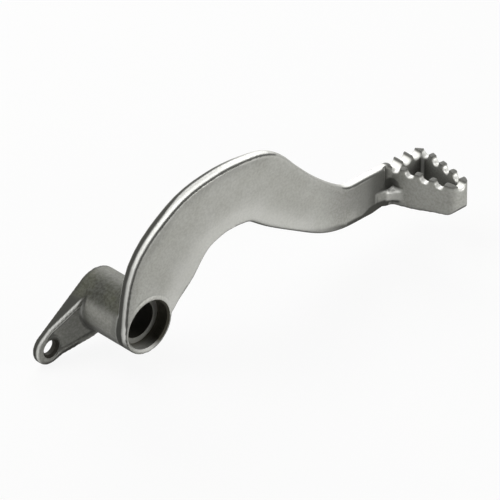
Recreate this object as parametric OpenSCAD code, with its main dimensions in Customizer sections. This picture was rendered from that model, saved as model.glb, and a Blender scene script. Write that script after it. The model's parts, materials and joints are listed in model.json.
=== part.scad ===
// Rear brake pedal of an off-road motorbike: one light-alloy forging.
// Origin on the pivot axis at mid length of the boss. +X runs forward to the toe claw,
// +Z is up, and the outer side of the bike is at -Y.

/* [Pivot boss] */
// Diameter of the bore for the pivot shaft
bore_d = 20; // [14:0.5:26]
// Radial width of the shoulder that a seal sits against
shoulder_w = 3.3; // [2:0.1:5]
// Radial wall left around a seal recess
rim_wall = 2.4; // [1.6:0.1:5]
// Depth of the seal recess at each end
recess_depth = 8; // [4:0.5:12]
// Chamfer at the mouth of each recess
mouth_chamfer = 1; // [0.3:0.1:1.5]
// Length of the boss along the pivot axis
boss_len = 40; // [32:0.5:56]

/* [Arm] */
// Distance from the pivot axis to the rear wall of the claw
reach = 168.4; // [150:0.2:200]
// Height of the crest of the arm's spine over the pivot axis
crest_rise = 49; // [40:0.5:60]
// Height of the spine at the claw over the pivot axis
claw_rise = 6.9; // [4:0.1:11]
// Width of the arm where it leaves the boss
root_width = 46; // [40:0.5:52]
// Width of the arm over the crest
crest_width = 39; // [30:0.2:46]
// Width of the arm half way down to the claw
slope_width = 30; // [22:0.5:36]
// Thickness of the arm at the boss
root_thick = 7.4; // [5:0.1:10]
// Thickness of the arm at its crest
crest_thick = 7.8; // [6:0.1:12]
// Thickness of the arm at the claw
tip_thick = 6.6; // [5:0.1:9]
// How far the arm's crest stands out past the face of the boss
crest_swell = 0.5; // [0:0.1:3]
// Slope of each side face, from the parting line to the outer or inner face
draft = 0.5; // [0.2:0.1:1.2]
// Chamfer that stands for the rounded edges of the arm
edge_break = 0.8; // [0.4:0.1:1.3]
// Depth of the shallow dish along the arm's faces
dish = 0.5; // [0.1:0.1:1]

/* [Push-rod lug] */
// Distance from the pivot axis to the eye
lug_reach = 36.7; // [30:0.1:48]
// Angle of the lug below the horizontal
lug_angle = 25; // [10:1:45]
// Diameter of the eye for the push-rod pin
eye_d = 8; // [6:0.1:9]
// Radial wall around the eye
eye_wall = 5.1; // [4:0.1:8]
// Thickness of the lug at the eye
eye_thick = 4.2; // [3.4:0.1:6]
// Thickness of the lug at the boss
lug_root_thick = 8; // [6:0.1:14]
// Width of the raised rim along the lug's edges
lug_rim = 2.2; // [1.4:0.1:2.8]
// Depth of the web below the raised rim
web_drop = 1; // [0.4:0.1:1.6]

/* [Toe claw] */
// Height of the tooth tips over the pivot axis
tread_rise = 17.6; // [14:0.2:22]
// Height of the claw's walls
claw_height = 22.6; // [18:0.2:26]
// Length of the claw beside the arm
claw_long = 26.4; // [23:0.2:32]
// Distance from the arm's face to the outer end of the claw
claw_reach = 36; // [32:0.5:46]
// Width of the claw across its outer end
claw_tip = 11.5; // [10.5:0.5:14]
// How far the outer end lies forward of the rear corner
claw_sweep = 9.2; // [6:0.2:12]
// Thickness of the claw's solid outer nose
claw_nose = 5; // [4:0.5:8]
// How far the claw's underside rises from the arm to the nose
claw_rise_out = 4.8; // [0:0.2:6]
// Thickness of the claw's outer walls
claw_wall = 3.6; // [3:0.1:4]
// Radius of the claw's corners
claw_round = 4.6; // [2:0.1:5]
// Radius of the round notches between the teeth
notch_r = 2.7; // [2:0.1:3]
// Depth of the notches
notch_depth = 3.3; // [2:0.1:4]
// Pitch of the teeth on the two outer walls
tooth_pitch = 8.9; // [8:0.1:10]
// Pitch of the teeth along the arm
arm_tooth_pitch = 7; // [6.6:0.1:8]
// Radius of the rounded lower outer corner
claw_heel = 8; // [4:0.5:10]
// Length of the gusset's legs behind the claw
gusset_leg = 8; // [6:0.5:12]
// Height of the gusset
gusset_height = 6.4; // [4:0.5:9]
// Height of the gusset's underside over the claw's lower edge
gusset_lift = 4.4; // [1:0.1:5]
// Radius of the hollow in the corner above the gusset
relief_r = 2.6; // [1:0.1:3]

/* [Hidden] */
$fn = 64;
eps = 0.02;
over = 0.6;
heel_steps = 12;
arm_inset = 0.15;
root_inset = 0.3;
web_sink = 0.06;
alloy = [0.66, 0.67, 0.65];
boss_r = bore_d / 2 + shoulder_w + rim_wall;
seat_r = bore_d / 2 + shoulder_w;
outer_y = -boss_len / 2;
inner_y = boss_len / 2;
eye_r = eye_d / 2 + eye_wall;
eye_at = [-lug_reach * cos(lug_angle), -lug_reach * sin(lug_angle)];
arm_steps = 5;
claw_top = tread_rise;
claw_base = claw_top - claw_height;
tip_width = 2 * (claw_top - claw_rise) + 1.2;
corner_cut = tip_thick * 0.85;

// Stations along the arm: place on the spine (X, Z), width, thickness and outward swell
root_drop = boss_r / 3;
stations = [
    [-root_drop, -root_drop, 1.54 * boss_r, root_thick, -root_inset],
    [0.06 * reach, 0.49 * crest_rise, root_width, root_thick, 0.3 * crest_swell],
    [0.17 * reach, 0.87 * crest_rise, (root_width + crest_width) / 2, crest_thick, crest_swell],
    [0.285 * reach, crest_rise, crest_width, crest_thick, crest_swell],
    [0.39 * reach, crest_rise, crest_width - 1, crest_thick - 0.6, 0.7 * crest_swell],
    [0.468 * reach, 0.93 * crest_rise, crest_width - 1, crest_thick - 1, 0.4 * crest_swell],
    [0.552 * reach, 0.69 * crest_rise, (crest_width + slope_width) / 2, tip_thick, 0.2 * crest_swell],
    [0.644 * reach, 0.45 * crest_rise, slope_width, tip_thick, 0],
    [0.74 * reach, claw_rise + 0.1 * crest_rise, slope_width - 3.5, tip_thick, 0],
    [0.817 * reach, claw_rise + 0.4, (slope_width + tip_width) / 2 - 3, tip_thick, 0],
    [0.905 * reach, claw_rise + 0.2, tip_width, tip_thick - 2 * arm_inset, -arm_inset],
    [reach + 1.5, claw_rise, tip_width, tip_thick - 2 * arm_inset, -arm_inset]
];

// One span of a smooth curve through the values a, b, c, d, from b at t = 0 to c at t = 1
function smooth(a, b, c, d, t) =
    (2 * b + (c - a) * t + (2 * a - 5 * b + 4 * c - d) * t * t + (3 * b - a - 3 * c + d) * t * t * t) / 2;
function clamp_index(i, n) = max(0, min(n, i));
function station(i) = stations[clamp_index(i, len(stations) - 1)];
function arm_row(i, k) =
    smooth(station(i - 1), station(i), station(i + 1), station(i + 2), k / arm_steps);
rows = concat(
    [for (i = [0 : len(stations) - 2], k = [0 : arm_steps - 1]) arm_row(i, k)],
    [station(len(stations) - 1)]
);
function spine_turn(i) =
    let (a = rows[max(0, i - 1)], b = rows[min(len(rows) - 1, i + 1)])
    atan2(b[1] - a[1], b[0] - a[0]);

// Outline of the arm's section: [share of the half width, inset from the edge, Y]
function section(w, t) =
    let (h = w / 2, m = t / 2)
    [
        [h, 0], [h - draft, m - edge_break], [h - draft - edge_break, m],
        [h / 2, m - dish], [-h / 2, m - dish],
        [edge_break + draft - h, m], [draft - h, m - edge_break],
        [-h, 0], [draft - h, edge_break - m], [edge_break + draft - h, -m],
        [-h / 2, dish - m], [h / 2, dish - m],
        [h - draft - edge_break, -m], [h - draft, edge_break - m]
    ];
function arm_ring(i) =
    let (r = rows[i], turn = spine_turn(i), mid = outer_y - r[4] + r[3] / 2)
    [for (p = section(r[2], r[3])) [r[0] - p[0] * sin(turn), mid + p[1], r[1] + p[0] * cos(turn)]];

module loft(rings) {
    n = len(rings[0]);
    last = len(rings) - 1;
    points = [for (ring = rings) each ring];
    sides = [
        for (i = [0 : last - 1], k = [0 : n - 1])
            each [
                [i * n + k, i * n + (k + 1) % n, (i + 1) * n + k],
                [i * n + (k + 1) % n, (i + 1) * n + (k + 1) % n, (i + 1) * n + k]
            ]
    ];
    ends = [[for (k = [n - 1 : -1 : 0]) k], [for (k = [0 : n - 1]) last * n + k]];
    polyhedron(points = points, faces = concat(sides, ends), convexity = 8);
}

// Extrudes an outline drawn in X and Z from back_y towards the outer side
module plate(back_y, depth) {
    translate([0, back_y, 0])
        rotate([90, 0, 0])
            linear_extrude(depth)
                children();
}

// A cylinder along the pivot axis between two values of Y
module cross_cylinder(r, from_y, to_y) {
    plate(to_y, to_y - from_y)
        circle(r);
}

// Outline of a straight-sided lug between two circles, the first at the origin
module tangent_web(r0, r1, c1) {
    lean = atan2(c1[1], c1[0]);
    open = acos((r0 - r1) / norm(c1));
    near = r0 - web_sink;
    far = r1 - web_sink;
    polygon([near * [cos(lean - open), sin(lean - open)], c1 + far * [cos(lean - open), sin(lean - open)],
             c1 + far * [cos(lean + open), sin(lean + open)], near * [cos(lean + open), sin(lean + open)]]);
    translate(c1)
        circle(r1);
}

function unit(v) = v / norm(v);

// Polygon with each corner rounded to radius r, or less where its sides are short
function rounded(corners, r, n = 6) =
    let (count = len(corners))
    [
        for (i = [0 : count - 1])
            let (
                p = corners[i],
                u = unit(corners[(i + count - 1) % count] - p),
                v = unit(corners[(i + 1) % count] - p),
                half = acos(u * v) / 2,
                side_a = norm(corners[(i + count - 1) % count] - p),
                side_b = norm(corners[(i + 1) % count] - p),
                turn_r = min(r, 0.48 * min(side_a, side_b) * tan(half)),
                c = p + unit(u + v) * turn_r / sin(half),
                a = atan2(-u[1] - v[1], -u[0] - v[0]),
                side = sign(u[0] * v[1] - u[1] * v[0])
            )
            for (k = [0 : n])
                let (b = a + side * (90 - half) * (1 - 2 * k / n))
                c + turn_r * [cos(b), sin(b)]
    ];

// Polygon drawn inside another, each side i moved in by walls[i]
function side_line(a, b, w) =
    let (d = unit(b - a), shift = w * [-d[1], d[0]])
    [a + shift, d];
function crossing(l, m) =
    let (det = l[1][0] * m[1][1] - l[1][1] * m[1][0], g = m[0] - l[0])
    l[0] + l[1] * (g[0] * m[1][1] - g[1] * m[1][0]) / det;
function inset(corners, walls) =
    let (
        n = len(corners),
        lines = [for (i = [0 : n - 1]) side_line(corners[i], corners[(i + 1) % n], walls[i])]
    )
    [for (i = [0 : n - 1]) crossing(lines[(i + n - 1) % n], lines[i])];

module boss_body() {
    cross_cylinder(boss_r, outer_y, inner_y);
}

module seal_recess() {
    cross_cylinder(seat_r, inner_y - recess_depth, inner_y + 1);
    translate([0, inner_y - mouth_chamfer, 0])
        rotate([-90, 0, 0])
            cylinder(r1 = seat_r, r2 = seat_r + mouth_chamfer + eps, h = mouth_chamfer + eps);
}

module boss_cuts() {
    cross_cylinder(bore_d / 2, outer_y - 1, inner_y + 1);
    seal_recess();
    mirror([0, 1, 0])
        seal_recess();
}

module arm() {
    loft([for (i = [0 : len(rows) - 1]) arm_ring(i)]);
}

// Everything before the lug's front, which is level over the eye and slopes out to the boss
module lug_clearance(drop) {
    span = 4 * lug_reach;
    front_y = inner_y - eye_thick + drop;
    slope = atan((lug_root_thick - eye_thick) / (lug_reach - boss_r - eye_r / 2));
    intersection() {
        plate(front_y, 2 * lug_root_thick)
            square(span, center = true);
        rotate([0, -lug_angle, 0])
            translate([eye_r / 2 - lug_reach, front_y, 0])
                rotate([0, 0, -slope])
                    plate(0, span)
                        square(span, center = true);
    }
}

// The lug has a raised rim round a lower web, which holds the eye
module lug() {
    difference() {
        plate(inner_y, lug_root_thick)
            tangent_web(boss_r, eye_r, eye_at);
        lug_clearance(0);
        intersection() {
            lug_clearance(web_drop);
            plate(inner_y, lug_root_thick)
                tangent_web(boss_r - lug_rim, eye_r - lug_rim, eye_at);
        }
        translate([eye_at[0], 0, eye_at[1]])
            cross_cylinder(eye_d / 2, 0, inner_y + 1);
    }
}

tip_y = outer_y - claw_reach;
claw_corners = [
    [reach, outer_y + tip_thick],
    [reach + claw_sweep, tip_y],
    [reach + claw_sweep + claw_tip, tip_y],
    [reach + claw_long, outer_y],
    [reach + claw_long - corner_cut, outer_y + tip_thick]
];
claw_walls = [claw_wall, claw_nose, claw_wall, claw_wall, tip_thick];
rear_start = [reach + claw_sweep * tip_thick / (claw_reach + tip_thick), outer_y];
rear_run = claw_corners[1] - rear_start;
front_run = claw_corners[2] - claw_corners[3];

// The claw seen along the arm: a level tread, and an underside that rises to the nose
module claw_side() {
    end_y = tip_y - over;
    back_y = outer_y + tip_thick + over;
    corners = [[end_y, claw_top + over], [end_y, claw_base + claw_rise_out], [back_y, claw_base]];
    turn = rounded(corners, claw_heel, heel_steps);
    heel = [for (i = [heel_steps + 1 : 2 * heel_steps + 1]) turn[i]];
    translate([reach - claw_long, 0, 0])
        rotate([90, 0, 90])
            linear_extrude(3 * claw_long)
                polygon(concat([corners[0]], heel, [corners[2], [back_y, claw_top + over]]));
}

module claw_notch(at, heading, length) {
    translate([at[0], at[1], claw_top - notch_depth + notch_r])
        rotate([0, 0, heading])
            rotate([0, 90, 0])
                cylinder(r = notch_r, h = length, center = true);
}

// Cuts a row of notches along run, the first at the share first of a pitch past from
module notch_row(from, run, first, pitch, count, wall) {
    heading = atan2(run[1], run[0]) + 90;
    for (i = [0 : count - 1])
        claw_notch(from + unit(run) * pitch * (i + first), heading, 2 * (wall + over));
}

module claw() {
    outer_count = floor(claw_reach / tooth_pitch);
    arm_count = floor(claw_long / arm_tooth_pitch);
    difference() {
        intersection() {
            translate([0, 0, claw_base - over])
                linear_extrude(claw_height + over)
                    polygon(rounded(claw_corners, claw_round));
            claw_side();
        }
        translate([0, 0, claw_base - 1])
            linear_extrude(claw_height + 2)
                polygon(rounded(inset(claw_corners, claw_walls), claw_round / 2));
        notch_row(rear_start, rear_run, 0.1, tooth_pitch, outer_count, claw_wall);
        notch_row(claw_corners[3], front_run, 0.22, tooth_pitch, outer_count, claw_wall);
        notch_row([reach, outer_y + tip_thick / 2], [1, 0], 0.7, arm_tooth_pitch, arm_count, tip_thick / 2);
        claw_notch([claw_corners[1][0] + claw_tip / 2, tip_y], 90, 2 * (claw_nose + over));
    }
}

// Low web that braces the claw's rear wall against the arm, with a hollow free edge
module gusset() {
    arm_end = [reach - gusset_leg, outer_y];
    wall_end = rear_start + unit(rear_run) * gusset_leg;
    corner = rear_start + [claw_wall / 2, 1];
    chord = wall_end - arm_end;
    hollow = 1.1 * norm(chord);
    stand = sqrt(hollow ^ 2 - (norm(chord) / 2) ^ 2) - over / 2;
    centre = (arm_end + wall_end) / 2 + unit([chord[1], -chord[0]]) * stand;
    translate([0, 0, claw_base + gusset_lift])
        linear_extrude(gusset_height)
            difference() {
                polygon([arm_end + [0, 1], arm_end, wall_end, wall_end + [claw_wall / 2, 0], corner]);
                translate(centre)
                    circle(hollow);
            }
}

// Hollow in the corner of arm and claw, above the gusset
module corner_relief() {
    translate([reach - relief_r / 2, outer_y - relief_r / 8, claw_base + gusset_lift + gusset_height])
        cylinder(r = relief_r, h = claw_height);
}

module brake_pedal() {
    color(alloy)
        difference() {
            union() {
                boss_body();
                arm();
                lug();
                claw();
                gusset();
            }
            corner_relief();
            boss_cuts();
        }
}

brake_pedal();
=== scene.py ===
"""Rear brake pedal of a motorbike: one forged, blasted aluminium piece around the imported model."""

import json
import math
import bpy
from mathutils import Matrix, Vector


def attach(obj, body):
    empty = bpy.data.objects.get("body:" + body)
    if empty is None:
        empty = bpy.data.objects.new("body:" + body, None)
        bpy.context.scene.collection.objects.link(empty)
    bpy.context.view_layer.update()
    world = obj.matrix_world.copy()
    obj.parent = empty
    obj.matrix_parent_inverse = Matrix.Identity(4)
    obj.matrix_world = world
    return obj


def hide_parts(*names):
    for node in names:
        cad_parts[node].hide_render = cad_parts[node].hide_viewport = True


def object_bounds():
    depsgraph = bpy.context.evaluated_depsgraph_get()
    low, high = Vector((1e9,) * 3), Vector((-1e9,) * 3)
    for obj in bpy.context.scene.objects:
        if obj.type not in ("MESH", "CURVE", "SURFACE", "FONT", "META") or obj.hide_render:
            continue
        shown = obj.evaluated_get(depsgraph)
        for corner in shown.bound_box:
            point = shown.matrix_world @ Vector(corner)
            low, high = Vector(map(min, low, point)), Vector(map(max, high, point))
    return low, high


bl_info = {
    "name": "Brake Pedal Forging",
    "version": (1, 0, 0),
    "blender": (4, 5, 0),
    "location": "View3D > Sidebar > Pedal",
    "description": "Dresses the packed brake pedal as a bead-blasted forging in a pale studio",
    "category": "Object",
}

import bmesh
import bpy
import numpy as np
from mathutils import Vector

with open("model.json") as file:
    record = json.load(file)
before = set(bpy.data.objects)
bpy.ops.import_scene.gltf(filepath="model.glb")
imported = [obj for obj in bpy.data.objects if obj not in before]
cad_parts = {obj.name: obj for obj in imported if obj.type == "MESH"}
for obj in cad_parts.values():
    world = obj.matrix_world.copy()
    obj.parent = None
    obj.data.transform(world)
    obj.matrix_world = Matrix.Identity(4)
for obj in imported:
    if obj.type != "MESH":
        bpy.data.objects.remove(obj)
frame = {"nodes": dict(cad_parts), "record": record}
cad_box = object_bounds()

NODE = "brake_pedal"
PIECE = "pedal_forging"
MOUNTS = {m["name"]: m for m in frame["record"]["mounts"]}

# Landmarks of the forging, in metres. Y runs along the pivot with the outer side at -Y, X points
# forward to the claw and Z up.
ARM_LINE = (  # x, z and width of the arm along its centre line, from the boss to the claw
    (-0.005, -0.005, 0.024), (0.010, 0.024, 0.046), (0.029, 0.043, 0.0425), (0.048, 0.049, 0.039),
    (0.066, 0.049, 0.038), (0.079, 0.0456, 0.038), (0.093, 0.034, 0.0345), (0.108, 0.022, 0.030),
    (0.125, 0.0118, 0.0265), (0.138, 0.0073, 0.0235), (0.152, 0.0071, 0.0226), (0.170, 0.0069, 0.0226),
)
FACE_Y = -0.0205  # outer face of the arm
CLAW_JOINT = (0.1665, 0.1685)  # x over which the arm turns into the claw
CLAW_WALL = (0.1700, -0.215)  # rear wall of the claw from above: x at the arm's face, slope
WALL_CORNER = (0.1675, FACE_Y)  # x, y where the wall meets the arm
TIP_CORNER = (0.1904, -0.0206)  # x, y of the inner corner at the claw's tip
LUG_SLOPE = 0.466  # rise of the lug's middle line towards the boss
LUG_FRONT = (0.0158, 0.27, -0.0333)  # y of the lug's front face, its slope, and the x where that starts
ALONG_EYE = (0.8, 0.6)  # x, z of the direction in which the shade lies in the eye's pad

# How the blank is made and cut. Lengths are in metres, and SIDES are the sides of a turned solid.
SMOOTH_SHARE = 0.5  # how far one smoothing step moves a vertex toward the mean of its neighbours
WELD = 2e-6
PLUG_INSET = 0.0004
PLUG_CROWN = 0.0008
EYE_PLUG_RADIUS = 0.006
PLUG_SIDES = 96
EYE_PLUG_SIDES = 48
BORE_SIDES = 160
EYE_SIDES = 96
CUT_PAST = 0.003
CORNER_RING = 0.0003
EYE_FRONT_CHAMFER = 0.0013
EYE_BACK_CHAMFER = 0.0004
SHARP_ANGLE = math.radians(32)

# Sizes of the finish's patterns, in metres
PATCH = 0.012
WEAR_PATCH = 0.004
EDGE_BEND = (0.03, 0.10)  # no length: the stored bend at which an edge starts to be rubbed, and is fully
RING_PITCH = 0.0004

# Lamps of the studio: name, place, width and height, in metres
SOFTBOXES = (
    ("key", (-0.20, 0.30, 0.85), 0.8, 0.8),
    ("side", (0.35, -0.65, 0.15), 0.4, 0.3),
    ("back", (-0.70, 0.60, 0.42), 0.6, 0.4),
    ("rim", (0.65, 0.62, 0.58), 0.7, 0.5),
)
LAMP_AIM = (0.07, -0.02, 0.02)
FLOOR_SIZE = 4.0
FLOOR_X = 0.07
FLOOR_GAP = 0.0005
FLOOR_WHITE = 0.9  # how far the floor is shown white
FLOOR_IN_GLOSS = 0.5  # and how much of that shows in gloss
SENSOR_MM = 36
CLIP = (0.1, 20)
WHITE = (1, 1, 1, 1)


def mount_radius(name):
    """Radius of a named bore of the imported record, in metres."""
    return MOUNTS[name]["dims"]["r_mm"] / 1000


def mount_place(name):
    """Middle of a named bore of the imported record, in metres."""
    return Vector(MOUNTS[name]["pos_m"])


class ForgingSettings(bpy.types.PropertyGroup):
    grid: bpy.props.FloatProperty(
        name="Grid", description="Grid size of the forged skin",
        default=0.0006, min=0.0003, max=0.002, unit="LENGTH")
    edge_steps: bpy.props.IntProperty(
        name="Edge Rounding", description="Smoothing steps that round every forged edge",
        default=4, min=0, max=40)
    fillet_steps: bpy.props.IntProperty(
        name="Fillet Rounding", description="Extra smoothing steps at the fillets and soft edges",
        default=26, min=0, max=80)
    face_crown: bpy.props.FloatProperty(
        name="Face Crown", description="How far the arm's outer face falls back at its lower edge",
        default=0.0005, min=0.0, max=0.003, unit="LENGTH")
    belly: bpy.props.FloatProperty(
        name="Belly", description="How far the lower edge swells before and under the claw",
        default=0.0018, min=0.0, max=0.003, unit="LENGTH")
    web_drop: bpy.props.FloatProperty(
        name="Web Drop", description="How much lower the top of the corner web lies",
        default=0.0014, min=0.0, max=0.003, unit="LENGTH")
    boss_radius: bpy.props.FloatProperty(
        name="Boss Radius", description="Outer radius of the pivot boss",
        default=0.0157, min=0.01, max=0.03, unit="LENGTH")
    boss_half: bpy.props.FloatProperty(
        name="Half Boss Length", description="Half the length of the pivot boss",
        default=0.02, min=0.01, max=0.03, unit="LENGTH")
    recess_depth: bpy.props.FloatProperty(
        name="Recess Depth", description="Depth of the seal recess in each boss end",
        default=0.008, min=0.002, max=0.015, unit="LENGTH")
    mouth_chamfer: bpy.props.FloatProperty(
        name="Mouth Chamfer", description="Chamfer at the mouth of each seal recess",
        default=0.001, min=0.0, max=0.002, unit="LENGTH")
    eye_depth: bpy.props.FloatProperty(
        name="Eye Depth", description="Depth of the raised pad around the push-rod eye",
        default=0.0042, min=0.002, max=0.01, unit="LENGTH")


class FinishSettings(bpy.types.PropertyGroup):
    alloy: bpy.props.FloatVectorProperty(
        name="Blasted Alloy", description="Colour of the bead-blasted skin",
        subtype="COLOR", size=3, default=(0.33, 0.33, 0.305), min=0, max=1)
    shade: bpy.props.FloatVectorProperty(
        name="Alloy Shade", description="Colour of the darker, warmer patches of the skin",
        subtype="COLOR", size=3, default=(0.29, 0.29, 0.262), min=0, max=1)
    # Colour of the paler grain, and of the painted highlights on edges, notch floors, the web top and
    # the recess shoulders.
    worn: bpy.props.FloatVectorProperty(
        name="Grain And Highlight", description="Colour of painted highlights on edges and notch floors, and of the paler grain",
        subtype="COLOR", size=3, default=(0.64, 0.64, 0.61), min=0, max=1)
    # Near-black painted shade for hollows, creases, undersides and the dark outlines of edges.
    soot: bpy.props.FloatVectorProperty(
        name="Hollow", description="Colour of the painted shade in hollows, on undersides and along dark edges",
        subtype="COLOR", size=3, default=(0.024, 0.024, 0.019), min=0, max=1)
    # Near-black colour of the boss and lug: painted shade over their rougher skin.
    cast: bpy.props.FloatVectorProperty(
        name="Cast Skin And Shade", description="Colour of the rougher skin of the boss and lug, darkened as painted shade",
        subtype="COLOR", size=3, default=(0.030, 0.031, 0.018), min=0, max=1)
    # Dark colour of the turned bores: painted shade.
    bore: bpy.props.FloatVectorProperty(
        name="Machined Bore", description="Colour of the turned bores, darkened as painted shade",
        subtype="COLOR", size=3, default=(0.07, 0.066, 0.05), min=0, max=1)
    grain: bpy.props.FloatProperty(
        name="Grain", description="Size of the blasted grain",
        default=0.0014, min=0.0002, max=0.003, unit="LENGTH")


class StudioSettings(bpy.types.PropertyGroup):
    azimuth: bpy.props.FloatProperty(
        name="Azimuth", description="Turn of the camera about the upright axis",
        default=math.radians(-43.9), subtype="ANGLE")
    elevation: bpy.props.FloatProperty(
        name="Elevation", description="Height of the camera as an angle",
        default=math.radians(33.7), subtype="ANGLE")
    distance: bpy.props.FloatProperty(
        name="Distance", description="Camera to the middle of the picture",
        default=4.6875, unit="LENGTH")
    lens: bpy.props.FloatProperty(
        name="Lens", description="Focal length in millimetres", default=675.0, min=20, max=1000)
    target: bpy.props.FloatVectorProperty(
        name="Target", description="Point in the middle of the picture",
        size=3, default=(0.0702, -0.0192, 0.0125), subtype="TRANSLATION", unit="LENGTH")
    floor: bpy.props.FloatVectorProperty(
        name="Floor", description="Colour of the floor",
        subtype="COLOR", size=3, default=(0.62, 0.62, 0.61), min=0, max=1)
    key_power: bpy.props.FloatProperty(
        name="Key", description="Power of the overhead softbox", default=6.5, unit="POWER")
    side_power: bpy.props.FloatProperty(
        name="Side", description="Power of the right-hand light", default=3.5, unit="POWER")
    back_power: bpy.props.FloatProperty(
        name="Back", description="Power of the light behind the boss", default=3.5, unit="POWER")
    rim_power: bpy.props.FloatProperty(
        name="Rim", description="Power of the light behind the claw", default=6.0, unit="POWER")
    sky: bpy.props.FloatProperty(
        name="Sky", description="Strength of the even light all round", default=0.06, min=0, max=2)


def link(obj):
    """Puts a new object in the scene."""
    bpy.context.scene.collection.objects.link(obj)
    return obj


def lathe(name, centre, profile, segments):
    """Closed solid turned about a line along Y through centre, from (y, radius) pairs in order of y."""
    build = bmesh.new()
    rings = []
    for y, radius in profile:
        ring = []
        for i in range(segments):
            turn = 2 * math.pi * i / segments
            place = Vector((radius * math.cos(turn), y, radius * math.sin(turn)))
            ring.append(build.verts.new(centre + place))
        rings.append(ring)
    for low, high in zip(rings, rings[1:]):
        for i in range(segments):
            j = (i + 1) % segments
            build.faces.new((low[i], low[j], high[j], high[i]))
    build.faces.new(rings[0])
    build.faces.new(rings[-1])
    bmesh.ops.recalc_face_normals(build, faces=build.faces)
    mesh = bpy.data.meshes.new(name)
    build.to_mesh(mesh)
    build.free()
    return link(bpy.data.objects.new(name, mesh))


def bake_modifiers(obj):
    """Replaces the mesh by what its modifiers give, and drops them."""
    graph = bpy.context.evaluated_depsgraph_get()
    done = bpy.data.meshes.new_from_object(obj.evaluated_get(graph))
    obj.modifiers.clear()
    old = obj.data
    obj.data = done
    bpy.data.meshes.remove(old)


def rising(value, start, full):
    """0 up to start, 1 from full on, smooth between."""
    t = np.clip((value - start) / (full - start), 0, 1)
    return t * t * (3 - 2 * t)


def falling(value, full, end):
    """1 up to full, 0 from end on, smooth between."""
    return rising(-value, -end, -full)


def strongest(pairs):
    """The highest of several masks at each vertex, from (strength, mask) pairs."""
    return np.maximum.reduce([strength * mask for strength, mask in pairs])


def relax(co, edges, steps, weight):
    """Moves each vertex toward the mean of its neighbours, steps times, by its weight."""
    count = len(co)
    ends = np.concatenate([edges, edges[:, ::-1]])
    degree = np.maximum(np.bincount(ends[:, 0], minlength=count), 1)
    for _ in range(steps):
        for axis in range(co.shape[1]):
            mean = np.bincount(ends[:, 0], weights=co[ends[:, 1], axis], minlength=count) / degree
            co[:, axis] += weight * (mean - co[:, axis])
    return co


def soft_places(co):
    """Where the forging has large radii: at the boss, along its lower edge and under the claw."""
    x, y, z = co.T
    boss_joint = (rising(y, -0.0155, -0.0125) * falling(y, -0.0105, -0.008)
                  * falling(np.hypot(x, z), 0.0165, 0.0195))
    lower_edge = rising(x, 0.085, 0.12) * falling(z, 0.004, 0.012) * falling(x, 0.150, 0.158)
    claw_base = rising(x, 0.160, 0.168) * falling(z, -0.0020, 0.0005)
    return strongest(((1.0, boss_joint), (0.6, lower_edge), (0.6, claw_base)))


def vertex_data(mesh):
    """Vertex places and normals, one row each."""
    co = np.empty(len(mesh.vertices) * 3)
    mesh.vertices.foreach_get("co", co)
    normal = np.empty(len(mesh.vertices) * 3)
    mesh.vertex_normals.foreach_get("vector", normal)
    return co.reshape(-1, 3), normal.reshape(-1, 3)


def edge_pairs(mesh):
    """Both ends of each edge, one row an edge."""
    pairs = np.empty(len(mesh.edges) * 2, np.int64)
    mesh.edges.foreach_get("vertices", pairs)
    return pairs.reshape(-1, 2)


def store(mesh, name, values):
    """Keeps one number a vertex, which the materials read by its name."""
    mesh.attributes.new(name, "FLOAT", "POINT").data.foreach_set("value", values.astype(np.float32))


def mark_bend(mesh, grid):
    """Stores how sharply the skin bends: above 0 on an outer edge, below 0 in a hollow one."""
    co, normal = vertex_data(mesh)
    near = relax(co.copy(), edge_pairs(mesh), 1, 1.0)
    bend = -np.einsum("ij,ij->i", near - co, normal)
    store(mesh, "bend", relax(bend[:, None] / grid, edge_pairs(mesh), 2, SMOOTH_SHARE)[:, 0])


def arm_side(x, z):
    """Where a point lies across the arm: 1 on its upper edge, -1 on its lower edge."""
    line = np.array(ARM_LINE)
    best = np.full(len(x), 1e9)
    side = np.zeros(len(x))
    for (ax, az, aw), (bx, bz, bw) in zip(line, line[1:]):
        dx, dz = bx - ax, bz - az
        length = math.hypot(dx, dz)
        t = np.clip(((x - ax) * dx + (z - az) * dz) / length ** 2, 0, 1)
        away = np.hypot(x - ax - t * dx, z - az - t * dz)
        across = ((z - az) * dx - (x - ax) * dz) / length / (aw + t * (bw - aw)) * 2
        closer = away < best
        best[closer] = away[closer]
        side[closer] = across[closer]
    return side


class Skin:
    """Vertices of the forging, with masks from 0 to 1 of the parts they lie on. Places are in metres."""

    def __init__(self, mesh):
        co, normal = vertex_data(mesh)
        self.place = x, y, z = co.T
        self.normal = nx, ny, nz = normal.T
        self.bend = np.empty(len(co), np.float32)
        mesh.attributes["bend"].data.foreach_get("value", self.bend)
        self.side = arm_side(x, z)
        self.from_axis = np.hypot(x, z)
        self.outer = falling(y, -0.0130, -0.0115)
        self.arm = self.outer * falling(x, *CLAW_JOINT) * rising(y, -0.0212, -0.0204)
        self.claw = rising(x, *CLAW_JOINT)
        self.web = (falling(y, -0.0204, -0.0198) * rising(x, 0.1590, 0.1602)
                    * falling(x, 0.174, 0.178) * falling(z, 0.0057, 0.0063))
        self.web_top = rising(nz, 0.05, 0.45)
        self.boss = rising(y, -0.0140, -0.0118) * falling(x, 0.022, 0.040)
        self.lug = rising(y, 0.010, 0.012) * falling(x, -0.018, -0.014)
        self.lean = 0.69 * nx + 0.72 * nz
        self.upward = 0.6 * nz - 0.8 * nx
        self.top_edge = self.arm * falling(np.abs(ny), 0.35, 0.75) * rising(self.upward, 0.05, 0.3)
        front_y, front_slope, front_x = LUG_FRONT
        self.above_lug = z - LUG_SLOPE * x
        self.past_front = y - front_y + front_slope * np.maximum(x - front_x, 0)
        self.eye = mount_place("pushrod_eye")
        self.from_eye = np.hypot(x - self.eye.x, z - self.eye.z)


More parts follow.
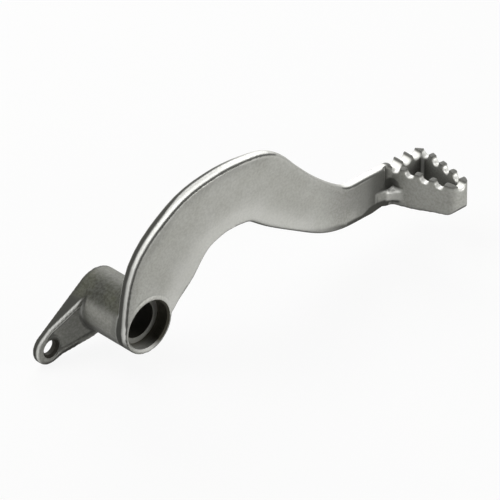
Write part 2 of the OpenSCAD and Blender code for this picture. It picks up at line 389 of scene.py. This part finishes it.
def cast_skin(skin):
    """The rough skin of the boss and lug, darkened by painted shade that is strongest on flanks that
    lean forward and up.
    """
    all_over, on_ends, on_flanks, less_on_top = 0.30, 0.15, 0.70, 0.45
    end = np.abs(skin.normal[1])
    flank = falling(end, 0.6, 0.9) * (
        rising(skin.lean, -0.60, -0.05) - less_on_top * rising(skin.lean, 0.35, 0.90))
    return skin.boss * (all_over + on_ends * rising(end, 0.6, 0.9) + on_flanks * flank)


def bright_skin(skin):
    """Painted highlights: the arm's upper edge band, the lower part of its face, the floors of the
    claw's notches, the top and side of the web, the lug's upper front edge and the claw's inner tip
    corner.
    """
    x, y, z = skin.place
    _, ny, nz = skin.normal
    low_face = (skin.arm * falling(skin.side, -0.75, 0.05) * falling(ny, -0.9, -0.6)
                * falling(x, 0.100, 0.140))
    notch_floor = (skin.claw * rising(z, 0.0120, 0.0135) * falling(z, 0.0158, 0.0170)
                   * rising(nz, 0.15, 0.45))
    web_side = 0.3 * falling(ny, -0.8, -0.4) * falling(y, -0.0214, -0.0206)
    web = skin.web * np.maximum(skin.web_top, web_side)
    from_tip = np.hypot(x - TIP_CORNER[0], y - TIP_CORNER[1])
    tip_corner = skin.claw * falling(from_tip, 0.0005, 0.0013) * falling(z, 0.0155, 0.0165)
    lug_edge = (skin.lug * falling(skin.past_front, 0.0010, 0.0018) * rising(ny, -0.97, -0.90)
                * rising(skin.above_lug, -0.004, 0.003))
    lug_edge *= rising(skin.from_eye, 0.0066, 0.0074)
    return strongest(((1.0, skin.top_edge), (0.4, low_face), (1.0, notch_floor), (1.0, web),
                      (1.0, lug_edge), (0.5, tip_corner)))


def dark_arm(skin):
    """Strengths and masks of the painted shade on the arm: dark lines along its edges, its underside,
    the shade below the web and towards the claw, and its upper rim.
    """
    x, y, z = skin.place
    _, ny, nz = skin.normal
    side = skin.side
    face_line = (skin.arm * falling(ny, -0.4, -0.2) * rising(ny, -0.93, -0.78)
                 * rising(skin.upward, 0.0, 0.15))
    by_boss = 0.0012 * falling(x, 0.010, 0.030)
    far_line = (skin.top_edge * rising(y, -0.0162 - by_boss, -0.0150 - by_boss)
                * falling(x, 0.040, 0.105))
    far_half = skin.top_edge * rising(y, -0.0186, -0.0166) * falling(x, 0.030, 0.110)
    wider = 0.25 * rising(x, 0.148, 0.156)
    low_edge = skin.arm * np.maximum(
        rising(wider - side, 0.72, 0.90) * rising(x, 0.105, 0.145), 0.6 * falling(side, -0.96, -0.88))
    below_web = skin.arm * rising(x, 0.150, 0.158) * falling(z, -0.0016, 0.0)
    underside = np.maximum(skin.outer * falling(nz, -0.5, -0.05), 0.7 * falling(nz, -0.8, -0.3))
    face = skin.arm * falling(ny, -0.9, -0.6)
    by_claw = face * rising(x, 0.112, 0.165) * (
        1 - 0.55 * falling(side, -0.6, 0.0) * falling(x, 0.140, 0.150))
    by_claw *= (1 + 0.18 * rising(x, 0.150, 0.158)) * (
        1 - 0.6 * falling(z, 0.0050, 0.0062) * rising(x, 0.1575, 0.1590))
    high_rim = face * rising(side, 0.65, 0.90) * falling(x, 0.070, 0.090)
    return ((0.9, face_line), (1.0, far_line), (0.4, far_half), (1.0, low_edge), (1.0, below_web),
            (0.9, underside), (0.78, by_claw), (0.2, high_rim))


def dark_claw(skin):
    """Strengths and masks of the painted shade on the claw: at its foot, on its tooth tips and in the
    corner pocket above the web.
    """
    x, y, z = skin.place
    foot = skin.claw * falling(z, -0.0040, -0.0022)
    tooth_tip = skin.claw * rising(z, 0.0160, 0.0171)
    from_corner = np.hypot(x - WALL_CORNER[0], y - WALL_CORNER[1])
    reach = 0.0016 + 0.0034 * falling(z, 0.0080, 0.0125)
    pocket = rising(reach - from_corner, 0.0, 0.0010) * rising(z, 0.0050, 0.0058)
    pocket *= (1 - skin.web * skin.web_top) * (1 - 0.4 * rising(x, 0.1690, 0.1710))
    return (0.55, foot), (0.75, tooth_tip), (0.97, pocket)


def dark_boss(skin):
    """Strengths and masks of the painted shade on the boss and lug: the lug's flank and lower rib, the
    eye's pad, the boss ends, its lower side and its joint with the arm.
    """
    x, y, z = skin.place
    ny = skin.normal[1]
    lug_flank = skin.lug * falling(np.abs(ny), 0.60, 0.85) * rising(skin.past_front, 0.0010, 0.0018)
    low_rib = skin.lug * rising(skin.bend, 0.006, 0.03) * falling(skin.above_lug, -0.006, 0.0)
    along = ALONG_EYE[0] * (x - skin.eye.x) + ALONG_EYE[1] * (z - skin.eye.z)
    eye_shade = skin.lug * falling(skin.from_eye, 0.0058, 0.0068) * rising(along, -0.001, 0.002)
    end_rim = skin.boss * np.maximum(rising(ny, 0.25, 0.60), 0.85 * rising(y, 0.0174, 0.0190))
    low_boss = falling(skin.lean, -0.95, -0.80) * falling(skin.from_axis, 0.0165, 0.0175)
    joint = (rising(y, -0.0128, -0.0116) * falling(y, -0.0104, -0.0080)
             * falling(skin.from_axis, 0.0170, 0.0195))
    return ((1.0, lug_flank), (0.85, low_rib), (0.85, eye_shade), (0.9, end_rim), (0.7, low_boss),
            (0.35, joint))


def deep_bore(skin):
    """Painted shade deep in the pivot bore, and in the eye's bore."""
    x, y, _ = skin.place
    return strongest(((1.0, falling(np.abs(y), 0.0117, 0.01198)), (0.8, falling(x, -0.022, -0.020))))


def bore_shoulder(skin):
    """Painted light on the shoulder and lower wall of each seal recess."""
    x, y, z = skin.place
    radius = skin.from_axis
    ledge = (falling(np.abs(y), 0.0121, 0.0123) * rising(radius, 0.01005, 0.0102)
             * falling(radius, 0.0131, 0.01325))
    low_wall = (rising(np.abs(y), 0.0122, 0.0124) * rising(-0.35 * x - 0.94 * z, 0.008, 0.0135)
                * falling(radius, 0.0145, 0.0150))
    return strongest(((0.30, ledge), (0.8, low_wall)))


def mark_skin(mesh):
    """Stores where the skin differs. The marks were set one by one to follow the photo's tones."""
    skin = Skin(mesh)
    # These marks hold painted light and shade: shade on the boss and lug, highlights, dark edges and
    # shade, shade in the bores and light in the recesses.
    store(mesh, "cast_skin", cast_skin(skin))
    store(mesh, "bright_skin", bright_skin(skin))
    store(mesh, "dark_skin", strongest((*dark_arm(skin), *dark_claw(skin), *dark_boss(skin))))
    store(mesh, "claw_skin", skin.claw)
    store(mesh, "deep_bore", deep_bore(skin))
    store(mesh, "shoulder", bore_shoulder(skin))


class PEDAL_OT_forging(bpy.types.Operator):
    """Builds the forged skin over the CAD solid, with its machined bores cut sharp"""

    bl_idname = "pedal.forging"
    bl_label = "Forge Pedal"

    def execute(self, context):
        size = context.scene.forging
        blank = self.blank(size)
        self.round_edges(blank, size)
        blank.data.materials.append(blasted_alloy(context.scene.finish))
        blank.data.materials.append(machined_alloy(context.scene.finish))
        self.cut_bores(blank, size)
        blank.data.polygons.foreach_set("use_smooth", [True] * len(blank.data.polygons))
        blank.data.set_sharp_from_angle(angle=SHARP_ANGLE)
        mark_skin(blank.data)
        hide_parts(NODE)
        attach(blank, "root")
        return {"FINISHED"}

    def blank(self, size):
        """Copy of the solid with its bores filled, on an even grid."""
        build = bmesh.new()
        build.from_mesh(frame["nodes"][NODE].data)
        bmesh.ops.remove_doubles(build, verts=build.verts, dist=WELD)
        radius = size.boss_radius - PLUG_INSET
        end = size.boss_half
        half = size.eye_depth / 2
        bore_profile = [(-end, radius - PLUG_CROWN), (0, radius), (end, radius - PLUG_CROWN)]
        bore_plug = lathe("bore_plug", Vector(), bore_profile, PLUG_SIDES)
        eye_plug = lathe(
            "eye_plug", self.eye_middle(size), [(-half, EYE_PLUG_RADIUS), (half, EYE_PLUG_RADIUS)],
            EYE_PLUG_SIDES)
        for plug in (bore_plug, eye_plug):
            build.from_mesh(plug.data)
            bpy.data.objects.remove(plug)
        mesh = bpy.data.meshes.new(PIECE)
        build.to_mesh(mesh)
        build.free()
        blank = link(bpy.data.objects.new(PIECE, mesh))
        grid = blank.modifiers.new("grid", "REMESH")
        grid.mode = "VOXEL"
        grid.voxel_size = size.grid
        bake_modifiers(blank)
        blank.data.name = PIECE
        return blank

    def eye_middle(self, size):
        """Middle of the push-rod eye, whose pad ends level with the boss."""
        eye = mount_place("pushrod_eye")
        eye.y = size.boss_half - size.eye_depth / 2
        return eye

    def round_edges(self, blank, size):
        """Rounds the edges and fillets, then shapes the crown, belly, claw foot and corner web."""
        mesh = blank.data
        co, _ = vertex_data(mesh)
        edges = edge_pairs(mesh)
        co = relax(co, edges, size.edge_steps, SMOOTH_SHARE)
        co = relax(co, edges, size.fillet_steps, SMOOTH_SHARE * soft_places(co))
        x, y, z = co.T  # views, so each step below works on what the step before it left
        side = arm_side(x, z)
        front = (falling(y, -0.0185, -0.0160) * rising(np.hypot(x, z), 0.017, 0.022)
                 * falling(x, 0.140, 0.158))
        co[:, 1] += size.face_crown * front * falling(side, -1.0, -0.05)
        belly = rising(x, 0.095, 0.143) * falling(x, 0.152, 0.166) * falling(side, -1.0, -0.1)
        claw_sag = rising(x, 0.161, 0.168) * rising(y, -0.054, -0.030) * falling(z, -0.0030, 0.0015)
        co[:, 2] -= size.belly * np.maximum(belly, claw_sag)
        wall = CLAW_WALL[0] + CLAW_WALL[1] * (y - FACE_Y)
        web = (falling(y, -0.0209, -0.0203) * rising(x, 0.1590, 0.1605)
               * rising(wall - x, -0.0004, 0.0008))
        co[:, 2] -= size.web_drop * web * rising(z, 0.0010, 0.0050) * falling(z, 0.0070, 0.0085)
        mesh.vertices.foreach_set("co", co.ravel())
        mesh.update()
        mark_bend(mesh, size.grid)

    def cut_bores(self, blank, size):
        """Cuts the pivot bore with its two recesses, and the push-rod eye."""
        bore = mount_radius("pivot_bore")
        recess = mount_radius("outer_seal_recess")
        chamfer = size.mouth_chamfer
        end = size.boss_half
        floor = end - size.recess_depth
        half = [(floor - CORNER_RING, bore), (floor, bore), (floor, bore + CORNER_RING),
                (floor, recess - CORNER_RING), (floor, recess), (end - chamfer, recess),
                (end, recess + chamfer), (end + CUT_PAST, recess + chamfer + CUT_PAST)]
        profile = [(-y, r) for y, r in reversed(half)] + half
        pivot = lathe("pivot_cutter", Vector(), profile, BORE_SIDES)
        radius = mount_radius("pushrod_eye")
        side = size.eye_depth / 2
        profile = [(-side - CUT_PAST, radius + EYE_FRONT_CHAMFER + CUT_PAST),
                   (-side, radius + EYE_FRONT_CHAMFER), (EYE_FRONT_CHAMFER - side, radius),
                   (side - EYE_BACK_CHAMFER, radius), (side, radius + EYE_BACK_CHAMFER),
                   (side + CUT_PAST, radius + EYE_BACK_CHAMFER + CUT_PAST)]
        eye = lathe("eye_cutter", self.eye_middle(size), profile, EYE_SIDES)
        for cutter in (pivot, eye):
            cutter.data.materials.append(blank.data.materials[1])
            cut = blank.modifiers.new(cutter.name, "BOOLEAN")
            cut.operation = "DIFFERENCE"
            cut.solver = "EXACT"
            cut.material_mode = "TRANSFER"
            cut.object = cutter
        bake_modifiers(blank)
        blank.data.name = PIECE
        for cutter in (pivot, eye):
            bpy.data.objects.remove(cutter)


class Graph:
    """Short way to lay out a node tree."""

    def __init__(self, tree):
        self.tree = tree
        self.column = 0

    def add(self, kind, inputs=None, **settings):
        """New node with its inputs and settings filled in."""
        node = self.tree.nodes.new(kind)
        self.column += 1
        node.location = (180 * self.column, 0)
        for name, value in settings.items():
            setattr(node, name, value)
        for name, value in (inputs or {}).items():
            self.put(node.inputs[name], value)
        return node

    def put(self, socket, value):
        """Links a socket to another, or sets its value."""
        if isinstance(value, bpy.types.NodeSocket):
            self.tree.links.new(value, socket)
        else:
            socket.default_value = value

    def math(self, operation, a, b=0.0, c=0.0):
        return self.add("ShaderNodeMath", {0: a, 1: b, 2: c}, operation=operation).outputs[0]

    def remap(self, value, low, high, to_low=0.0, to_high=1.0):
        node = self.add("ShaderNodeMapRange", {
            "Value": value, "From Min": low, "From Max": high, "To Min": to_low, "To Max": to_high},
            interpolation_type="SMOOTHSTEP")
        return node.outputs["Result"]

    def scale(self, mask, none, full):
        """Number that is none where the mask is 0 and full where it is 1."""
        return self.remap(mask, 0.0, 1.0, none, full)

    def mix(self, factor, a, b):
        node = self.add("ShaderNodeMix", data_type="RGBA", blend_type="MIX")
        self.put(node.inputs[0], factor)
        self.put(node.inputs[6], a)
        self.put(node.inputs[7], b)
        return node.outputs[2]

    def tint(self, colour, mask, to, share):
        """Colour turned to another by share where the mask is 1."""
        return self.mix(self.math("MULTIPLY", mask, share), colour, to)

    def marks(self, *names):
        """What mark_skin stored under each name."""
        return {name: self.add("ShaderNodeAttribute", attribute_name=name).outputs["Fac"]
                for name in names}


def new_group(name, inputs, outputs):
    """Shader node group with named float sockets. Inputs map a name to its default."""
    tree = bpy.data.node_groups.new(name, "ShaderNodeTree")
    for label, default in inputs.items():
        socket = tree.interface.new_socket(label, in_out="INPUT", socket_type="NodeSocketFloat")
        socket.default_value = default
    for label in outputs:
        tree.interface.new_socket(label, in_out="OUTPUT", socket_type="NodeSocketFloat")
    graph = Graph(tree)
    return graph, graph.add("NodeGroupInput").outputs, graph.add("NodeGroupOutput").inputs


def blast_grain():
    """Fine peened grain of bead blasting, with its slow change of tone. Sizes in metres."""
    graph, given, out = new_group(
        "blast_grain", {"Grain Size": 0.0007, "Patch Size": PATCH}, ("Height", "Tone", "Patch"))
    place = graph.add("ShaderNodeTexCoord").outputs["Object"]
    fine = graph.add("ShaderNodeTexNoise", {
        "Vector": place, "Scale": graph.math("DIVIDE", 1.0, given["Grain Size"]), "Detail": 3.0,
        "Roughness": 0.6})
    pits = graph.add("ShaderNodeTexVoronoi", {
        "Vector": place, "Scale": graph.math("DIVIDE", 0.8, given["Grain Size"]), "Randomness": 1.0},
        feature="SMOOTH_F1")
    patch = graph.add("ShaderNodeTexNoise", {
        "Vector": place, "Scale": graph.math("DIVIDE", 1.0, given["Patch Size"]), "Detail": 4.0,
        "Roughness": 0.55})
    height = graph.math("MULTIPLY_ADD", pits.outputs["Distance"], 0.5, fine.outputs["Fac"])
    graph.put(out["Height"], height)
    graph.put(out["Tone"], graph.remap(fine.outputs["Fac"], 0.3, 0.7))
    graph.put(out["Patch"], graph.remap(patch.outputs["Fac"], 0.32, 0.68))
    return graph.tree


def edge_wear():
    """Masks of edges, and of painted shade in hollows and creases, from how sharply the skin bends and
    how far it sees out.
    """
    graph, given, out = new_group(
        "edge_wear", {"Break Up": WEAR_PATCH, "Edge From": EDGE_BEND[0], "Edge Full": EDGE_BEND[1]},
        ("Edge", "Hollow", "Depth"))
    bend = graph.add("ShaderNodeAttribute", attribute_name="bend").outputs["Fac"]
    place = graph.add("ShaderNodeTexCoord").outputs["Object"]
    patches = graph.add("ShaderNodeTexNoise", {
        "Vector": place, "Scale": graph.math("DIVIDE", 1.0, given["Break Up"]), "Detail": 3.0})
    edge = graph.add("ShaderNodeMapRange", {
        "Value": bend, "From Min": given["Edge From"], "From Max": given["Edge Full"]}).outputs["Result"]
    broken = graph.remap(patches.outputs["Fac"], 0.25, 0.6, 0.35, 1.0)
    graph.put(out["Edge"], graph.math("MULTIPLY", edge, broken))
    # Mask of painted shade in creases, where the skin bends inward.
    graph.put(out["Hollow"], graph.remap(bend, -0.008, -0.045))
    # Mask of painted shade where the skin sees little of its surroundings.
    seen = graph.add("ShaderNodeAmbientOcclusion", {"Distance": 0.025}, samples=8, only_local=True)
    graph.put(out["Depth"], graph.remap(seen.outputs["AO"], 0.72, 0.28))
    return graph.tree


def turned_rings():
    """Fine rings that a cutting tool leaves in a bore along Y, one part inside the other."""
    graph, given, out = new_group("turned_rings", {"Pitch": RING_PITCH}, ("Height", "Tone"))
    whole = graph.add("ShaderNodeTexCoord").outputs["Object"]
    place = graph.add("ShaderNodeSeparateXYZ", {"Vector": whole}).outputs
    radius = graph.math("SQRT", graph.math("ADD", graph.math("MULTIPLY", place["X"], place["X"]),
                                           graph.math("MULTIPLY", place["Z"], place["Z"])))
    along = graph.math("DIVIDE", graph.math("ADD", place["Y"], radius), given["Pitch"])
    wave = graph.math("SINE", graph.math("MULTIPLY", along, 2 * math.pi))
    rough = graph.add("ShaderNodeTexNoise", {
        "W": graph.math("MULTIPLY", along, 0.6), "Scale": 1.0, "Detail": 2.0}, noise_dimensions="1D")
    graph.put(out["Height"], graph.math("MULTIPLY_ADD", wave, 0.25, rough.outputs["Fac"]))
    graph.put(out["Tone"], graph.remap(rough.outputs["Fac"], 0.3, 0.7))
    return graph.tree


def shared(build):
    """The node group that build makes, made once."""
    return bpy.data.node_groups.get(build.__name__) or build()


def place_group(graph, build, **inputs):
    """Puts a shared group in a material, with its own values."""
    node = graph.add("ShaderNodeGroup", node_tree=shared(build))
    for label, value in inputs.items():
        graph.put(node.inputs[label.replace("_", " ")], value)
    return node.outputs


def new_material(name):
    """Material with a Principled shader, and the graph to lay out its nodes with."""
    material = bpy.data.materials.new(name)
    material.use_nodes = True
    material.node_tree.nodes.clear()
    graph = Graph(material.node_tree)
    shader = graph.add("ShaderNodeBsdfPrincipled")
    graph.put(graph.add("ShaderNodeOutputMaterial").inputs["Surface"], shader.outputs["BSDF"])
    return material, graph, shader.inputs


def rgba(colour, share=1.0):
    """Colour with its alpha, darkened or lightened by share."""
    return (*[c * share for c in colour], 1.0)


def blasted_alloy(finish):
    """Bead-blasted aluminium: satin grey, mottled, with painted highlights on edges and painted shade in
    hollows.
    """
    material, graph, skin = new_material("blasted_alloy")
    grain = place_group(graph, blast_grain, Grain_Size=finish.grain, Patch_Size=PATCH)
    wear_and_shade = place_group(
        graph, edge_wear, Break_Up=WEAR_PATCH, Edge_From=EDGE_BEND[0], Edge_Full=EDGE_BEND[1])
    mark = graph.marks("cast_skin", "claw_skin", "bright_skin", "dark_skin")
    worn = rgba(finish.worn)
    soot = rgba(finish.soot)
    colour = graph.mix(grain["Patch"], rgba(finish.shade), rgba(finish.alloy))
    colour = graph.tint(colour, grain["Tone"], worn, share=0.20)
    # The boss and lug take a near-black colour, painted shade over their rougher skin.
    rough_cast_and_shade = graph.mix(grain["Patch"], rgba(finish.cast, share=0.6), rgba(finish.cast, share=1.5))
    rough_cast_and_shade = graph.tint(rough_cast_and_shade, grain["Tone"], worn, share=0.07)
    colour = graph.mix(mark["cast_skin"], colour, rough_cast_and_shade)
    colour = graph.tint(colour, mark["claw_skin"], rgba(finish.cast), share=0.12)
    # Painted shade in creases, and where the skin sees little of its surroundings.
    colour = graph.tint(colour, wear_and_shade["Hollow"], soot, share=0.7)
    colour = graph.tint(colour, wear_and_shade["Depth"], soot, share=0.92)
    # Painted highlights, then painted shade with the dark outlines of edges.
    colour = graph.mix(mark["bright_skin"], colour, worn)
    colour = graph.mix(mark["dark_skin"], colour, soot)
    graph.put(skin["Base Color"], colour)
    dull = graph.math("MAXIMUM", mark["dark_skin"], wear_and_shade["Depth"])
    dull = graph.math("MAXIMUM", dull, mark["cast_skin"])
    graph.put(skin["Metallic"], graph.scale(dull, none=0.5, full=0.0))
    rough = graph.math("MAXIMUM", graph.scale(grain["Tone"], none=0.58, full=0.46),
                       graph.scale(dull, none=0.0, full=0.85))
    rubbed = graph.math("MULTIPLY", wear_and_shade["Edge"], 0.10)
    graph.put(skin["Roughness"], graph.math("SUBTRACT", rough, rubbed))
    height = graph.math("MULTIPLY", grain["Height"], graph.scale(mark["cast_skin"], none=1.0, full=2.2))
    bump = graph.add("ShaderNodeBump", {"Height": height, "Strength": 0.25, "Distance": 0.00006})
    graph.put(skin["Normal"], bump.outputs["Normal"])
    return material


def machined_alloy(finish):
    """Turned bores and recesses: darker as painted shade, smoother, with fine tool rings and painted
    light on the recess shoulders.
    """
    material, graph, skin = new_material("machined_alloy")
    rings = place_group(graph, turned_rings, Pitch=RING_PITCH)
    mark = graph.marks("deep_bore", "shoulder")
    colour = graph.mix(rings["Tone"], rgba(finish.bore, share=0.7), rgba(finish.bore))
    # Painted shade deep in the bores, then painted light on the recess shoulders and lower walls.
    colour = graph.mix(mark["deep_bore"], colour, rgba(finish.bore, share=0.25))
    graph.put(skin["Base Color"], graph.mix(mark["shoulder"], colour, rgba(finish.worn)))
    graph.put(skin["Metallic"], graph.scale(mark["deep_bore"], none=0.4, full=0.0))
    skin["Specular IOR Level"].default_value = 0.15
    rough = graph.scale(rings["Tone"], none=0.42, full=0.30)
    deep = graph.math("MULTIPLY", mark["deep_bore"], 0.8)
    graph.put(skin["Roughness"], graph.math("MAXIMUM", rough, deep))
    bump = graph.add("ShaderNodeBump", {"Height": rings["Height"], "Strength": 0.3, "Distance": 0.00004})
    graph.put(skin["Normal"], bump.outputs["Normal"])
    return material


def backdrop_rays(graph, reflected):
    """1 on rays from the camera, reflected on those from gloss and glass, 0 on the rest."""
    rays = graph.add("ShaderNodeLightPath").outputs
    shown = graph.math("MAXIMUM", rays["Is Glossy Ray"], rays["Is Transmission Ray"])
    return graph.math("MAXIMUM", rays["Is Camera Ray"], graph.math("MULTIPLY", shown, reflected))


def softbox(name, place, width, height, power):
    """Soft rectangular lamp that points at the pedal."""
    lamp = bpy.data.lights.new(name, "AREA")
    lamp.shape = "RECTANGLE"
    lamp.size = width
    lamp.size_y = height
    lamp.energy = power
    obj = link(bpy.data.objects.new(name, lamp))
    obj.location = place
    obj.rotation_euler = (Vector(LAMP_AIM) - Vector(place)).to_track_quat("-Z", "Y").to_euler()


class PEDAL_OT_studio(bpy.types.Operator):
    """Sets the pale floor, the white backdrop, the soft lights and the camera"""

    bl_idname = "pedal.studio"
    bl_label = "Set Studio"

    def execute(self, context):
        scene = context.scene
        studio = scene.studio
        scene.view_settings.view_transform = "Standard"
        self.floor(studio)
        self.backdrop(scene, studio)
        for name, place, width, height in SOFTBOXES:
            softbox(f"{name}_softbox", place, width, height, getattr(studio, f"{name}_power"))
        self.camera(scene, studio)
        return {"FINISHED"}

    def floor(self, studio):
        """Pale floor under the pedal, shown nearly white, which keeps the shadow."""
        build = bmesh.new()
        bmesh.ops.create_grid(build, x_segments=8, y_segments=8, size=FLOOR_SIZE)
        mesh = bpy.data.meshes.new("studio_floor")
        build.to_mesh(mesh)
        build.free()
        obj = link(bpy.data.objects.new("studio_floor", mesh))
        obj.location = (FLOOR_X, 0, cad_box[0][2] - FLOOR_GAP)
        material, graph, skin = new_material("studio_floor")
        skin["Base Color"].default_value = rgba(studio.floor)
        skin["Roughness"].default_value = 0.9
        output = next(n for n in material.node_tree.nodes if n.bl_idname == "ShaderNodeOutputMaterial")
        shader = output.inputs["Surface"].links[0].from_socket
        white = graph.add("ShaderNodeEmission", {"Color": WHITE, "Strength": 1.0}).outputs["Emission"]
        share = graph.math("MULTIPLY", backdrop_rays(graph, FLOOR_IN_GLOSS), FLOOR_WHITE)
        graph.put(output.inputs["Surface"],
                  graph.add("ShaderNodeMixShader", {0: share, 1: shader, 2: white}).outputs["Shader"])
        mesh.materials.append(material)

    def backdrop(self, scene, studio):
        """White all round for the camera and for gloss, dim for the light on the pedal."""
        world = bpy.data.worlds.new("studio_backdrop")
        world.use_nodes = True
        world.node_tree.nodes.clear()
        graph = Graph(world.node_tree)
        strength = graph.add("ShaderNodeMapRange", {
            "Value": backdrop_rays(graph, 1.0), "To Min": studio.sky, "To Max": 1.0})
        light = graph.add("ShaderNodeBackground", {
            "Color": WHITE, "Strength": strength.outputs["Result"]})
        graph.put(graph.add("ShaderNodeOutputWorld").inputs["Surface"], light.outputs["Background"])
        scene.world = world

    def camera(self, scene, studio):
        """Camera that looks at the target from the set turn, height and distance."""
        lens = bpy.data.cameras.new("studio_camera")
        lens.lens = studio.lens
        lens.sensor_width = SENSOR_MM
        lens.clip_start, lens.clip_end = CLIP
        obj = link(bpy.data.objects.new("studio_camera", lens))
        flat = math.cos(studio.elevation)
        away = Vector((math.sin(studio.azimuth) * flat, -math.cos(studio.azimuth) * flat,
                       math.sin(studio.elevation)))
        obj.location = Vector(studio.target) + away * studio.distance
        obj.rotation_euler = (math.pi / 2 - studio.elevation, 0, studio.azimuth)
        scene.camera = obj


class PEDAL_PT_panel(bpy.types.Panel):
    """Lists the steps that dress the pedal, and their sizes and colours"""

    bl_idname = "PEDAL_PT_panel"
    bl_label = "Brake Pedal"
    bl_space_type = "VIEW_3D"
    bl_region_type = "UI"
    bl_category = "Pedal"

    def draw(self, context):
        layout = self.layout
        for operator, group in STEPS:
            settings = getattr(context.scene, group)
            for name in type(settings).__annotations__:
                layout.prop(settings, name)
            layout.operator(operator)


STEPS = (("pedal.forging", "forging"), ("pedal.forging", "finish"), ("pedal.studio", "studio"))
SETTINGS = {"forging": ForgingSettings, "finish": FinishSettings, "studio": StudioSettings}
CLASSES = (*SETTINGS.values(), PEDAL_OT_forging, PEDAL_OT_studio, PEDAL_PT_panel)


def register():
    for cls in CLASSES:
        bpy.utils.register_class(cls)
    for name, settings in SETTINGS.items():
        setattr(bpy.types.Scene, name, bpy.props.PointerProperty(type=settings))


def unregister():
    for name in SETTINGS:
        delattr(bpy.types.Scene, name)
    for cls in reversed(CLASSES):
        bpy.utils.unregister_class(cls)


def main():
    """Runs every step in order."""
    register()
    bpy.ops.pedal.studio()
    bpy.ops.pedal.forging()


if __name__ == "__main__":
    main()
